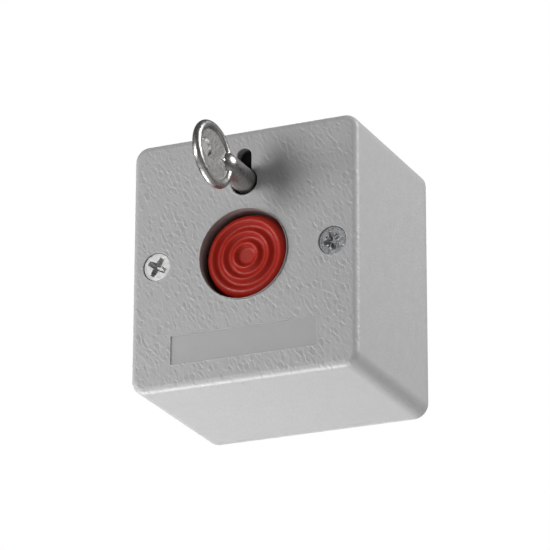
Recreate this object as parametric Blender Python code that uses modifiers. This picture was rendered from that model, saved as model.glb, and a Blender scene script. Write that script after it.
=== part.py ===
"""Emergency push button with a key reset, in a deep box cover for a wall.

The pieces are modelled lying on their back: X to the right, Y up the wall, Z out of the wall
towards the person who presses the button. The empty wall_frame then stands everything upright, so
in the world the wall plane is y = 0, the front faces -Y and +Z is up. Heights below are distances
out of the wall.
"""

import math

import bmesh
import bpy
from mathutils import Matrix, Vector

MM = 0.001
GAP = 0.3 * MM                       # clearance between neighbouring pieces
FINE = 36                            # sides of a large round shape
COARSE = 20                          # sides of a small one

# Cover: a deep moulded box, open at the back, with a little draft on its four sides.
COVER_WIDTH = 68.0 * MM
COVER_HEIGHT = 73.2 * MM
COVER_DEPTH = 50.5 * MM
COVER_DRAFT = math.radians(0.2)
COVER_CORNER = 4.2 * MM
COVER_EDGE = 1.75 * MM
WALL = 2.5 * MM
FRONT_INSIDE = COVER_DEPTH - WALL

# Two countersunk screws hold the cover, level with the button.
COVER_SCREW_X = 26.3 * MM
SCREW_HEAD_R = 3.8 * MM
SCREW_SHANK_R = 1.95 * MM
SCREW_LENGTH = 25.0 * MM
SCREW_SUNK = 0.35 * MM
SCREW_RIM = 0.3 * MM
POST_R = 4.6 * MM
POST_TOP = 34.0 * MM

# Button: a ribbed cap that slides in a bore and carries a stem.
BORE_R = 13.1 * MM
COLLAR_R = 15.3 * MM
GUIDE_R = 13.9 * MM
COLLAR_END = 37.2 * MM
GUIDE_STEP = 43.3 * MM
CAP_R = 11.9 * MM
CAP_INSIDE_R = 10.6 * MM
CAP_FLANGE_R = 13.6 * MM
CAP_END = 41.2 * MM
CAP_EDGE = 48.2 * MM
CAP_UNDERSIDE = 45.6 * MM
CAP_ROUND = 0.5 * MM
RIDGES_R = (3.5 * MM, 6.65 * MM, 10.0 * MM)
RIDGE_HALF = 1.2 * MM
RIDGE_HEIGHT = 0.9 * MM
SOCKET_R = 5.6 * MM
SOCKET_END = 41.0 * MM
STEM_R = 4.5 * MM
SPIGOT_R = 3.0 * MM
STEM_END = 28.9 * MM
GROOVE_DEPTH = 1.2 * MM
BUTTON_TRAVEL = 4.5 * MM

# Mechanism plate, screwed to four bosses behind the front wall.
PLATE_BACK = 33.0 * MM
PLATE_FRONT = 34.0 * MM
PLATE_HALF_WIDTH = 20.8 * MM
PLATE_LOW = -24.5 * MM
PLATE_HIGH = 30.0 * MM
BOSS_R = 3.2 * MM
BOSSES = [(x * MM, y * MM) for x in (-17.4, 17.4) for y in (-20.8, 26.2)]
SMALL_SCREW_R = 1.3 * MM
SMALL_HEAD_R = 2.5 * MM

# Lock: the key turns a barrel, and a cam behind the plate pushes the latch down.
LOCK_Y = 21.2 * MM
KEYHOLE_R = 3.9 * MM
KEY_SLOT_HALF = 2.15 * MM
KEY_SLOT_TOP = 31.0 * MM
HUB_R = 5.6 * MM
HUB_FRONT = 40.0 * MM
JOURNAL_R = 4.85 * MM
DRIVE_HALF = 2.6 * MM
CAM_BACK = 30.9 * MM
CAM_FRONT = 32.7 * MM
CAM_LOW_R = 5.2 * MM
CAM_LIFT = 2.4 * MM
CAM_ANGLE = math.radians(75)
KEY_BORE_END = 34.6 * MM

# Key: a round shaft with one bit, and a round bow with a raised rim.
KEY_R = 3.45 * MM
KEY_END = 35.0 * MM
BIT_HALF = 1.7 * MM
BIT_FRONT = 39.7 * MM
BIT_REACH = 9.2 * MM
BOW_R = 9.7 * MM
BOW_HEIGHT = 71.5 * MM
BOW_RIM = 2.2 * MM
BOW_HALF = 1.3 * MM
FIELD_HALF = 0.7 * MM
RING_HOLE_R = 2.5 * MM
RING_HOLE_OUT = 3.0 * MM
RING_HOLE_UP = 1.3 * MM

# Latch: a flat slide guided by two studs, pushed up by a spring.
LATCH_BACK = 31.1 * MM
LATCH_FRONT = 32.6 * MM
LATCH_HALF = 11.0 * MM
LATCH_LOW = -13.0 * MM
LATCH_HIGH = 11.0 * MM
LATCH_TRAVEL = 1.2 * MM
NOSE_HALF = 2.5 * MM
NOSE_TIP = LOCK_Y - CAM_LOW_R - LATCH_TRAVEL - GAP
STUDS = [(-8.0 * MM, 6.0 * MM), (8.0 * MM, -6.0 * MM)]
STUD_R = 1.0 * MM
STUD_SLIDE = 1.3 * MM

# Base plate with the cable entry and two slots for the wall screws.
BASE_THICK = 2.5 * MM
ENTRY_Y = -25.5 * MM
ENTRY_R = 6.0 * MM
WALL_SLOTS = [(-22.0 * MM, 24.0 * MM, 0.0), (22.0 * MM, -24.0 * MM, 90.0)]
WALL_SLOT_R = 2.2 * MM
WALL_SLOT_HALF = 1.5 * MM

# Circuit board with the switch and the terminals.
BOARD_BACK = 4.8 * MM
BOARD_FRONT = 6.4 * MM
BOARD_HALF_WIDTH = 20.5 * MM
BOARD_LOW = -18.5 * MM
BOARD_HIGH = 11.5 * MM
STANDOFFS = [(x * MM, y * MM) for x in (-17.3, 17.3) for y in (-15.2, 8.3)]
STANDOFF_R = 2.6 * MM
BOARD_SCREW_R = 1.1 * MM

# Snap-action switch, lying along X, with its lever below the stem.
SWITCH_LEFT = -16.0 * MM
SWITCH_RIGHT = 11.8 * MM
SWITCH_HALF = 5.15 * MM
SWITCH_SPLIT = 3.6 * MM
SWITCH_BACK = 6.7 * MM
SWITCH_TOP = 22.6 * MM
PIVOT_X = -13.5 * MM
PIVOT_HEIGHT = 24.3 * MM
PIVOT_PIN_R = 0.65 * MM
LEVER_EYE_R = 1.35 * MM
LEVER_HALF_WIDTH = 2.25 * MM
LEVER_THICK = 0.5 * MM
LEVER_REST = math.atan(0.2786)
LEVER_END_X = 1.8 * MM
PIN_X = -9.3 * MM
PIN_R = 1.2 * MM
PIN_TOP = 24.6 * MM
PIN_BOTTOM = 19.0 * MM
BLADES_X = [x * MM for x in (-13.0, -2.0, 9.0)]

# Three-way terminal block.
BLOCK_HALF = 7.6 * MM
BLOCK_LOW = -17.4 * MM
BLOCK_HIGH = -9.4 * MM
BLOCK_TOP = 16.4 * MM
BLOCK_WAYS = [x * MM for x in (-5.0, 0.0, 5.0)]


def clear_scene():
    """Remove what the file holds and make the two collections."""
    for item in list(bpy.data.objects):
        bpy.data.objects.remove(item, do_unlink=True)
    groups = []
    for name in ("emergency_push_button", "cutters"):
        group = bpy.data.collections.new(name)
        bpy.context.scene.collection.children.link(group)
        groups.append(group)
    return groups


PARTS, CUTTERS = clear_scene()
WALL_FRAME = bpy.data.objects.new("wall_frame", None)
WALL_FRAME.rotation_euler = (math.radians(90), 0, 0)
PARTS.objects.link(WALL_FRAME)


def material(name, colour, roughness, metallic=0.0):
    """A plain Principled material."""
    made = bpy.data.materials.new(name)
    made.use_nodes = True
    shader = made.node_tree.nodes["Principled BSDF"]
    shader.inputs["Base Color"].default_value = (*colour, 1.0)
    shader.inputs["Roughness"].default_value = roughness
    shader.inputs["Metallic"].default_value = metallic
    return made


def from_bmesh(name, shape):
    """An object under the wall frame with the given mesh."""
    mesh = bpy.data.meshes.new(name)
    shape.to_mesh(mesh)
    shape.free()
    made = bpy.data.objects.new(name, mesh)
    made.parent = WALL_FRAME
    return made


def as_part(made, look):
    """Put an object in the part's collection with its material."""
    made.data.materials.append(look)
    PARTS.objects.link(made)
    if made.type == 'MESH':
        made.data.shade_smooth()
        made.data.set_sharp_from_angle(angle=math.radians(35))
    return made


def as_cutter(made):
    """Keep an object as a helper shape that the model leaves out."""
    made.hide_render = True
    made.display_type = 'WIRE'
    CUTTERS.objects.link(made)
    return made


def combine(target, operation, *tools):
    """Cut each tool from the target, or join each to it."""
    for tool in tools:
        as_cutter(tool)
        step = target.modifiers.new(operation.lower() + "_" + tool.name, 'BOOLEAN')
        step.operation = operation
        step.solver = 'EXACT'
        step.object = tool
    return target


def cut(target, *tools):
    return combine(target, 'DIFFERENCE', *tools)


def join(target, *tools):
    return combine(target, 'UNION', *tools)


def box(name, x, y, z):
    """A box from three (low, high) pairs."""
    made = bmesh.new()
    bmesh.ops.create_cube(made, size=1.0)
    size = [high - low for low, high in (x, y, z)]
    middle = [(high + low) / 2 for low, high in (x, y, z)]
    bmesh.ops.transform(made, matrix=Matrix.Translation(middle) @ Matrix.Diagonal((*size, 1)),
                        verts=made.verts)
    return from_bmesh(name, made)


def rod(name, radius, z, at=(0, 0), sides=COARSE, end_radius=None):
    """A cylinder or cone along Z from z[0] to z[1]."""
    made = bmesh.new()
    top = radius if end_radius is None else end_radius
    bmesh.ops.create_cone(made, cap_ends=True, segments=sides, radius1=radius, radius2=top,
                          depth=z[1] - z[0])
    result = from_bmesh(name, made)
    result.location = (*at, (z[0] + z[1]) / 2)
    return result


def cross_rod(name, radius, centre, half_length, axis, sides=COARSE):
    """A cylinder along X or Y, centred on a point."""
    made = rod(name, radius, (-half_length, half_length), sides=sides)
    made.location = centre
    quarter = math.radians(90)
    made.rotation_euler = (0, quarter, 0) if axis == 'X' else (quarter, 0, 0)
    return made


def turned(name, profile, at=(0, 0), sides=FINE):
    """A turned solid about Z; the profile (radius, height) starts and ends on the axis, top first."""
    curve = bmesh.new()
    points = [curve.verts.new((radius, 0, height)) for radius, height in profile]
    for first, second in zip(points, points[1:]):
        curve.edges.new((first, second))
    made = from_bmesh(name, curve)
    made.location = (*at, 0)
    spin = made.modifiers.new("turn", 'SCREW')
    spin.axis = 'Z'
    spin.steps = sides
    spin.render_steps = sides
    spin.use_merge_vertices = True
    spin.merge_threshold = 0.01 * MM
    return made


def plate(name, outline, z):
    """A flat piece: a closed outline in XY with its thickness along Z."""
    curve = bpy.data.curves.new(name, 'CURVE')
    curve.dimensions = '2D'
    curve.fill_mode = 'BOTH'
    curve.extrude = (z[1] - z[0]) / 2
    spline = curve.splines.new('POLY')
    spline.points.add(len(outline) - 1)
    for point, place in zip(spline.points, outline):
        point.co = (*place, 0, 1)
    spline.use_cyclic_u = True
    made = bpy.data.objects.new(name, curve)
    made.location = (0, 0, (z[0] + z[1]) / 2)
    return curve_to_mesh(made)


def curve_to_mesh(item):
    """Turn a curve object into a mesh object with welded caps, under the wall frame."""
    bpy.context.scene.collection.objects.link(item)
    bpy.context.view_layer.update()
    seen = item.evaluated_get(bpy.context.evaluated_depsgraph_get())
    mesh = bpy.data.meshes.new_from_object(seen)
    shape = bmesh.new()
    shape.from_mesh(mesh)
    bmesh.ops.remove_doubles(shape, verts=shape.verts, dist=0.001 * MM)
    bmesh.ops.transform(shape, matrix=item.matrix_world, verts=shape.verts)
    bmesh.ops.recalc_face_normals(shape, faces=shape.faces)
    name = item.name
    bpy.data.objects.remove(item, do_unlink=True)
    bpy.data.meshes.remove(mesh)
    return from_bmesh(name, shape)


def coil(name, mean_radius, wire_radius, length, turns, points_per_turn=12):
    """A compression spring along Z from z = 0, with one closed turn at each end."""
    steps = int(turns * points_per_turn)
    rise = length - 2 * wire_radius
    pitch_turns = turns - 2

    def height(turn):
        closed = min(turn, 1.0) + max(turn - (turns - 1), 0.0)
        active = min(max(turn - 1.0, 0.0), pitch_turns)
        lead = 2.2 * wire_radius
        return wire_radius + closed * lead + active * (rise - 2 * lead) / pitch_turns

    curve = bpy.data.curves.new(name, 'CURVE')
    curve.dimensions = '3D'
    curve.bevel_depth = wire_radius
    curve.bevel_resolution = 2
    curve.use_fill_caps = True
    spline = curve.splines.new('POLY')
    spline.points.add(steps)
    for index, point in enumerate(spline.points):
        turn = index / points_per_turn
        angle = math.tau * turn
        point.co = (mean_radius * math.cos(angle), mean_radius * math.sin(angle), height(turn), 1)
    return curve_to_mesh(bpy.data.objects.new(name, curve))


def stadium(radius, low, high, x=0.0, points=10):
    """The outline of a slot along Y whose end centres are at low and high."""
    outline = []
    for centre, start in ((high, 0.0), (low, math.pi)):
        for index in range(points + 1):
            angle = start + math.pi * index / points
            outline.append((x + radius * math.cos(angle), centre + radius * math.sin(angle)))
    return outline


def drafted_box(name, width, height, z, draft_from, corner, edge):
    """A box whose sides lean in by the draft as they rise, with round corners and a round rim."""
    lean = math.tan(COVER_DRAFT)
    made = bmesh.new()
    bmesh.ops.create_cube(made, size=2.0)
    for vert in made.verts:
        level = z[1] if vert.co.z > 0 else z[0]
        shrink = lean * (level - draft_from)
        vert.co = Vector((math.copysign(width / 2 - shrink, vert.co.x),
                          math.copysign(height / 2 - shrink, vert.co.y), level))
    uprights = [e for e in made.edges if abs(e.verts[0].co.z - e.verts[1].co.z) > MM]
    bmesh.ops.bevel(made, geom=uprights, offset=corner, segments=6, profile=0.5,
                    affect='EDGES', offset_type='OFFSET')
    if edge:
        rim = [e for e in made.edges if min(v.co.z for v in e.verts) > z[1] - 0.01 * MM]
        bmesh.ops.bevel(made, geom=rim, offset=edge, segments=3, profile=0.5,
                        affect='EDGES', offset_type='OFFSET')
    return from_bmesh(name, made)


def cross_recess(name, at, top, span, width, depth):
    """The two crossing slots of a screw head, as one solid."""
    reach = (top - depth, top + MM)
    first = box(name + "_a", (-span, span), (-width, width), reach)
    second = box(name + "_b", (-width, width), (-span, span), reach)
    for item in (first, second):
        item.location = (*at, 0)
    return first, second


def as_parts(pieces, look):
    """Each piece of a set is a part of its own."""
    return [as_part(piece, look) for piece in pieces]


# ---- cover -------------------------------------------------------------------------------------

def screw_seat(name, x):
    """The recess, countersink and clearance hole of one cover screw."""
    recess = SCREW_HEAD_R + GAP
    clearance = SCREW_SHANK_R + GAP
    cone_top = COVER_DEPTH - SCREW_SUNK - SCREW_RIM + GAP * (math.sqrt(2) - 1)
    cone_end = cone_top - (recess - clearance)
    profile = [(0, COVER_DEPTH + MM), (recess, COVER_DEPTH + MM), (recess, cone_top),
               (clearance, cone_end), (clearance, POST_TOP - MM), (0, POST_TOP - MM)]
    return turned(name, profile, at=(x, 0), sides=32)


def make_cover(look):
    cover = drafted_box("cover", COVER_WIDTH, COVER_HEIGHT, (0, COVER_DEPTH), 0,
                        COVER_CORNER, COVER_EDGE)
    inside = drafted_box("cover_inside", COVER_WIDTH - 2 * WALL, COVER_HEIGHT - 2 * WALL,
                         (-MM, FRONT_INSIDE), 0, COVER_CORNER - WALL, 0)
    cut(cover, inside)
    rise = (POST_TOP + GAP, COVER_DEPTH - WALL / 2)
    join(cover, rod("collar", COLLAR_R, (COLLAR_END, rise[1]), sides=FINE))
    for index, x in enumerate((-COVER_SCREW_X, COVER_SCREW_X)):
        join(cover, rod(f"screw_boss_{index}", POST_R, rise, at=(x, 0)))
    for index, place in enumerate(BOSSES):
        join(cover, rod(f"plate_boss_{index}", BOSS_R, rise, at=place, sides=16))
    through = (COLLAR_END - MM, COVER_DEPTH + MM)
    cut(cover, rod("bore", BORE_R, through, sides=FINE),
        rod("guide", GUIDE_R, (COLLAR_END - MM, GUIDE_STEP), sides=FINE))
    front = (FRONT_INSIDE - MM, COVER_DEPTH + MM)
    round_hole = rod("keyhole_round", KEYHOLE_R, front, at=(0, LOCK_Y))
    slot = plate("keyhole_slot",
                 stadium(KEY_SLOT_HALF, LOCK_Y, KEY_SLOT_TOP - KEY_SLOT_HALF), front)
    label = box("label_recess", (-21.7 * MM, 21.7 * MM), (-29.2 * MM, -21.1 * MM),
                (COVER_DEPTH - GAP, COVER_DEPTH + MM))
    cut(cover, round_hole, slot, label)
    for index, x in enumerate((-COVER_SCREW_X, COVER_SCREW_X)):
        cut(cover, screw_seat(f"screw_seat_{index}", x))
    for index, place in enumerate(BOSSES):
        cut(cover, rod(f"plate_pilot_{index}", SMALL_SCREW_R + GAP,
                       (POST_TOP - MM, POST_TOP + 8 * MM), at=place, sides=16))
    return as_part(cover, look)


def make_cover_screws(look):
    """Two flat-head screws with a cross recess."""
    top = COVER_DEPTH - SCREW_SUNK
    rim_end = top - SCREW_RIM
    cone_end = rim_end - (SCREW_HEAD_R - SCREW_SHANK_R)
    tip = top - SCREW_LENGTH
    profile = [(0, top), (SCREW_HEAD_R - 0.1 * MM, top), (SCREW_HEAD_R, top - 0.1 * MM),
               (SCREW_HEAD_R, rim_end), (SCREW_SHANK_R, cone_end),
               (SCREW_SHANK_R, tip + MM), (0.6 * SCREW_SHANK_R, tip), (0, tip)]
    screws = []
    for index, x in enumerate((-COVER_SCREW_X, COVER_SCREW_X)):
        screw = turned(f"cover_screw_{index + 1}", profile, at=(x, 0), sides=32)
        cut(screw, *cross_recess(f"cross_{index}", (x, 0), top, 2.2 * MM, 0.55 * MM, 1.6 * MM))
        screws.append(screw)
    return as_parts(screws, look)


# ---- base --------------------------------------------------------------------------------------

def make_base(look):
    """Rear plate with two posts, four standoffs, the cable entry and two wall slots."""
    side = COVER_WIDTH / 2 - WALL - GAP
    height = COVER_HEIGHT / 2 - WALL - GAP
    base = drafted_box("base_plate", 2 * side, 2 * height, (0, BASE_THICK), 0, 2.0 * MM, 0)
    for index, x in enumerate((-COVER_SCREW_X, COVER_SCREW_X)):
        join(base, rod(f"post_{index}", POST_R, (BASE_THICK / 2, POST_TOP), at=(x, 0)))
        insert_hole = rod(f"insert_hole_{index}", 3.2 * MM, (25.7 * MM, POST_TOP + MM), at=(x, 0))
        tip_hole = rod(f"tip_hole_{index}", SCREW_SHANK_R + GAP, (22 * MM, 27 * MM), at=(x, 0))
        cut(base, insert_hole, tip_hole)
    for index, place in enumerate(STANDOFFS):
        join(base, rod(f"standoff_{index}", STANDOFF_R, (BASE_THICK / 2, BOARD_BACK - GAP),
                       at=place, sides=16))
        cut(base, rod(f"standoff_hole_{index}", BOARD_SCREW_R + GAP, (0.8 * MM, BOARD_FRONT),
                      at=place, sides=16))
    cut(base, rod("cable_entry", ENTRY_R, (-MM, BASE_THICK + MM), at=(0, ENTRY_Y), sides=FINE))
    for index, (x, y, turn) in enumerate(WALL_SLOTS):
        slot = plate(f"wall_slot_{index}",
                     stadium(WALL_SLOT_R, -WALL_SLOT_HALF, WALL_SLOT_HALF), (-MM, BASE_THICK + MM))
        slot.location = (x, y, 0)
        slot.rotation_euler = (0, 0, math.radians(turn))
        cut(base, slot)
    return as_part(base, look)


def make_inserts(look):
    """Threaded brass inserts in the two posts."""
    inserts = []
    for index, x in enumerate((-COVER_SCREW_X, COVER_SCREW_X)):
        insert = rod(f"post_insert_{index + 1}", 2.9 * MM, (26 * MM, 33.8 * MM), at=(x, 0))
        cut(insert, rod(f"thread_{index}", SCREW_SHANK_R + GAP, (25 * MM, 35 * MM), at=(x, 0)))
        inserts.append(insert)
    return as_parts(inserts, look)


# ---- button ------------------------------------------------------------------------------------

def ridge_profile():
    """Points across the face: a flat middle, then three rounded ridges with flats between."""
    points = [(0, CAP_EDGE)]
    for crest in RIDGES_R:
        for index in range(5):
            share = index / 4
            lift = RIDGE_HEIGHT * math.sin(math.pi * share)
            points.append((crest + RIDGE_HALF * (2 * share - 1), CAP_EDGE + lift))
    points.append((CAP_R - CAP_ROUND, CAP_EDGE))
    return points


def make_cap(look):
    """Ribbed cap: a cup with a stop flange and a socket for the stem."""
    shoulder = CAP_END + 1.8 * MM
    profile = ridge_profile() + [
        (CAP_R, CAP_EDGE - CAP_ROUND), (CAP_R, shoulder), (CAP_FLANGE_R, shoulder),
        (CAP_FLANGE_R, CAP_END), (CAP_INSIDE_R, CAP_END), (CAP_INSIDE_R, CAP_UNDERSIDE),
        (SOCKET_R, CAP_UNDERSIDE), (SOCKET_R, SOCKET_END), (SPIGOT_R + GAP, SOCKET_END),
        (SPIGOT_R + GAP, CAP_UNDERSIDE), (0, CAP_UNDERSIDE)]
    return as_part(turned("button_cap", profile), look)


def make_stem(look):
    """Stem with a spigot in the cap, a latch groove and a narrow nose."""
    shoulder = SOCKET_END - GAP
    groove_low = LATCH_BACK + BUTTON_TRAVEL - 0.1 * MM
    groove_high = LATCH_FRONT + BUTTON_TRAVEL + 0.1 * MM
    profile = [(0, CAP_UNDERSIDE - GAP), (SPIGOT_R, CAP_UNDERSIDE - GAP), (SPIGOT_R, shoulder),
               (STEM_R, shoulder), (STEM_R, groove_high), (STEM_R - GROOVE_DEPTH, groove_high),
               (STEM_R - GROOVE_DEPTH, groove_low), (STEM_R, groove_low),
               (STEM_R, STEM_END + 1.7 * MM), (1.2 * MM, STEM_END + 0.3 * MM),
               (0.9 * MM, STEM_END), (0, STEM_END)]
    return as_part(turned("button_stem", profile, sides=32), look)


def make_return_spring(look):
    low = PLATE_FRONT + GAP
    spring = coil("return_spring", 6.6 * MM, 0.45 * MM, CAP_UNDERSIDE - GAP - low, 5.5)
    spring.location = (0, 0, low)
    return as_part(spring, look)


# ---- mechanism plate and latch -----------------------------------------------------------------

def make_plate(look):
    """Steel plate that carries the stem, the barrel and the latch."""
    level = (PLATE_BACK, PLATE_FRONT)
    past = (PLATE_BACK - MM, PLATE_FRONT + MM)
    base = box("mechanism_plate", (-PLATE_HALF_WIDTH, PLATE_HALF_WIDTH),
               (PLATE_LOW, PLATE_HIGH), level)
    join(base, box("spring_tab", (-3 * MM, 3 * MM), (-23.5 * MM, -22.6 * MM),
                   (29.5 * MM, PLATE_BACK + 0.5 * MM)))
    cut(base, rod("stem_hole", STEM_R + GAP, past, sides=32),
        rod("barrel_hole", JOURNAL_R + GAP, past, at=(0, LOCK_Y), sides=32),
        box("spring_window", (-2.7 * MM, 2.7 * MM), (-22.6 * MM, -12.9 * MM), past))
    for index, place in enumerate(BOSSES):
        cut(base, rod(f"plate_hole_{index}", SMALL_SCREW_R + GAP, past, at=place, sides=16))
    for index, place in enumerate(STUDS):
        cut(base, rod(f"stud_hole_{index}", STUD_R + GAP, past, at=place, sides=16))
    return as_part(base, look)


def make_small_screws(name, places, seat, shank_r, head_r, head_height, length, look):
    """Pan-head screws with a cross recess whose heads point to the wall or away from it."""
    screws = []
    away = 1 if length < 0 else -1
    for index, place in enumerate(places):
        near, far = seat, seat + away * head_height
        title = name if len(places) == 1 else f"{name}_{index + 1}"
        head = rod(title, head_r, (min(near, far), max(near, far)), at=place, sides=16)
        inner = seat + length
        overlap = seat + away * head_height / 2
        join(head, rod(f"{name}_shank_{index}", shank_r,
                       (min(inner, overlap), max(inner, overlap)), at=place, sides=12))
        depth = 0.5 * head_height
        slot = 0.3 * MM
        edge = (far - depth, far + MM) if away > 0 else (far - MM, far + depth)
        for turn, size in enumerate(((0.6 * head_r, slot), (slot, 0.6 * head_r))):
            bar = box(f"{name}_slot_{index}_{turn}", (-size[0], size[0]), (-size[1], size[1]), edge)
            bar.location = (*place, 0)
            cut(head, bar)
        screws.append(head)
    return as_parts(screws, look)


def make_latch(look):
    """Flat slide with a hole round the stem, a follower nose and a tongue for its spring."""
    level = (LATCH_BACK, LATCH_FRONT)
    past = (LATCH_BACK - MM, LATCH_FRONT + MM)
    latch = box("latch_slide", (-LATCH_HALF, LATCH_HALF), (LATCH_LOW, LATCH_HIGH), level)
    nose = plate("latch_nose", stadium(NOSE_HALF, LATCH_HIGH - 3 * MM, NOSE_TIP - NOSE_HALF), level)
    join(latch, nose,
         box("latch_tongue", (-0.8 * MM, 0.8 * MM), (-17 * MM, LATCH_LOW + MM), level))
    reach = LATCH_TRAVEL + GAP
    cut(latch, plate("latch_hole", stadium(STEM_R + GAP, 0, reach, points=16), past))
    for index, (x, y) in enumerate(STUDS):
        cut(latch, plate(f"latch_slot_{index}",
                         stadium(STUD_R + GAP, y - STUD_SLIDE, y + STUD_SLIDE, x=x), past))
    return as_part(latch, look)


def make_studs(look):
    """Two shouldered studs, riveted into the plate, that guide the latch."""
    back, front = LATCH_BACK - GAP, PLATE_FRONT + GAP
    head, shank, upset = 2.2 * MM, STUD_R, 1.8 * MM
    profile = [(0, front + 0.6 * MM), (0.7 * upset, front + 0.6 * MM), (upset, front),
               (shank, front), (shank, back), (head, back), (head, back - 0.6 * MM),
               (0, back - 0.6 * MM)]
    studs = [turned(f"latch_stud_{index + 1}", profile, at=place, sides=16)
             for index, place in enumerate(STUDS)]
    return as_parts(studs, look)


def make_latch_spring(look):
    """Spring between the plate's tab and the latch, lying along Y."""
    low, high = -22.3 * MM, LATCH_LOW - GAP
    spring = coil("latch_spring", 2.0 * MM, 0.25 * MM, high - low, 6.5, points_per_turn=10)
    spring.rotation_euler = (math.radians(-90), 0, 0)
    spring.location = (0, low, (LATCH_BACK + LATCH_FRONT) / 2)
    return as_part(spring, look)


# ---- lock --------------------------------------------------------------------------------------

def make_barrel(look):
    """Barrel: a slotted hub that takes the key, a journal in the plate and a square drive."""
    barrel = rod("key_barrel", HUB_R, (PLATE_FRONT + GAP, HUB_FRONT), at=(0, LOCK_Y), sides=32)
    journal = rod("journal", JOURNAL_R, (CAM_FRONT + 0.05 * MM, PLATE_FRONT + MM), at=(0, LOCK_Y),
                  sides=32)
    drive = box("drive", (-DRIVE_HALF, DRIVE_HALF), (LOCK_Y - DRIVE_HALF, LOCK_Y + DRIVE_HALF),
                (CAM_BACK, PLATE_FRONT))
    join(barrel, journal, drive)
    cut(barrel, rod("key_bore", KEY_R + GAP, (KEY_BORE_END, HUB_FRONT + MM), at=(0, LOCK_Y)),
        box("bit_slot", (-BIT_HALF - GAP, BIT_HALF + GAP), (LOCK_Y, LOCK_Y + 8 * MM),
            (KEY_BORE_END, HUB_FRONT + MM)),
        rod("cam_screw_hole", 1.5 * MM, (CAM_BACK - MM, 33.6 * MM), at=(0, LOCK_Y), sides=12))
    return as_part(barrel, look)


def cam_outline():
    """A spiral that rises over the turn of the key, then a round back at its full height."""
    outline = []
    steps = 12
    spread = math.radians(14)
    start = math.radians(-90) - spread
    sweep = CAM_ANGLE + 2 * spread
    for index in range(steps + 1):
        angle = sweep * index / steps
        share = min(max((angle - spread) / CAM_ANGLE, 0.0), 1.0)
        radius = CAM_LOW_R + CAM_LIFT * share
        outline.append((radius * math.cos(start + angle), radius * math.sin(start + angle)))
    rest = math.tau - sweep
    around = 24
    for index in range(1, around):
        angle = sweep + rest * index / around
        fall = max(0.0, 1 - (around - index) / 4)
        radius = CAM_LOW_R + CAM_LIFT * (1 - fall)
        outline.append((radius * math.cos(start + angle), radius * math.sin(start + angle)))
    return outline


def make_cam(look):
    """Cam on the barrel's square; its origin is on the barrel's axis."""
    cam = plate("release_cam", cam_outline(), (CAM_BACK, CAM_FRONT))
    side = DRIVE_HALF + GAP
    square = box("cam_square", (-side, side), (-side, side), (CAM_BACK - MM, CAM_FRONT + MM))
    for item in (cam, square):
        item.location = (0, LOCK_Y, 0)
    return as_part(cut(cam, square), look)


def make_key(look):
    """Key with its origin on the lock's axis, at the wall plane."""
    shaft_end = BOW_HEIGHT - BOW_R
    profile = [(0, shaft_end + 6.6 * MM), (0.75 * MM, shaft_end + 6.4 * MM),
               (1.2 * MM, shaft_end + 5.2 * MM), (2.0 * MM, shaft_end + 4.2 * MM),
               (2.8 * MM, shaft_end + 2.9 * MM), (3.25 * MM, shaft_end + 1.5 * MM),
               (KEY_R, shaft_end - 0.3 * MM),
               (KEY_R, KEY_END + 0.5 * MM), (KEY_R - 0.5 * MM, KEY_END), (0, KEY_END)]
    key = turned("reset_key", profile, at=(0, LOCK_Y), sides=32)
    centre = (0, LOCK_Y, BOW_HEIGHT)
    join(key, cross_rod("bow", BOW_R, centre, BOW_HALF, 'X', sides=FINE))
    for side in (-1, 1):
        face = (side * (FIELD_HALF + BOW_HALF), LOCK_Y, BOW_HEIGHT)
        cut(key, bow_recess(f"field_{side + 1}", face))
    hole = (0, LOCK_Y + RING_HOLE_UP, BOW_HEIGHT + RING_HOLE_OUT)
    cut(key, cross_rod("ring_hole", RING_HOLE_R, hole, 3 * MM, 'X'))
    bit = plate("bit", stadium(BIT_HALF, LOCK_Y, LOCK_Y + BIT_REACH - BIT_HALF), (KEY_END, BIT_FRONT))
    return as_part(join(key, bit), look)


def bow_recess(name, face):
    """The sunk field of the bow on one side, with the shaft's end standing in it."""
    disc = cross_rod(name, BOW_R - BOW_RIM, face, BOW_HALF, 'X', sides=FINE)
    keep = rod(name + "_keep", 3.9 * MM, (BOW_HEIGHT - BOW_R, BOW_HEIGHT - BOW_R + 6.6 * MM),
               at=(0, LOCK_Y), end_radius=0.9 * MM)
    return cut(disc, keep)


# ---- circuit board, switch and terminals -------------------------------------------------------

def make_board(look):
    past = (BOARD_BACK - MM, BOARD_FRONT + MM)
    board = box("circuit_board", (-BOARD_HALF_WIDTH, BOARD_HALF_WIDTH), (BOARD_LOW, BOARD_HIGH),
                (BOARD_BACK, BOARD_FRONT))
    for index, place in enumerate(STANDOFFS):
        cut(board, rod(f"board_hole_{index}", BOARD_SCREW_R + GAP, past, at=place, sides=16))
    for index, x in enumerate(BLADES_X):
        cut(board, box(f"blade_hole_{index}", (x - 0.6 * MM, x + 0.6 * MM),
                       (-1.9 * MM, 1.9 * MM), past))
    return as_part(board, look)


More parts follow.
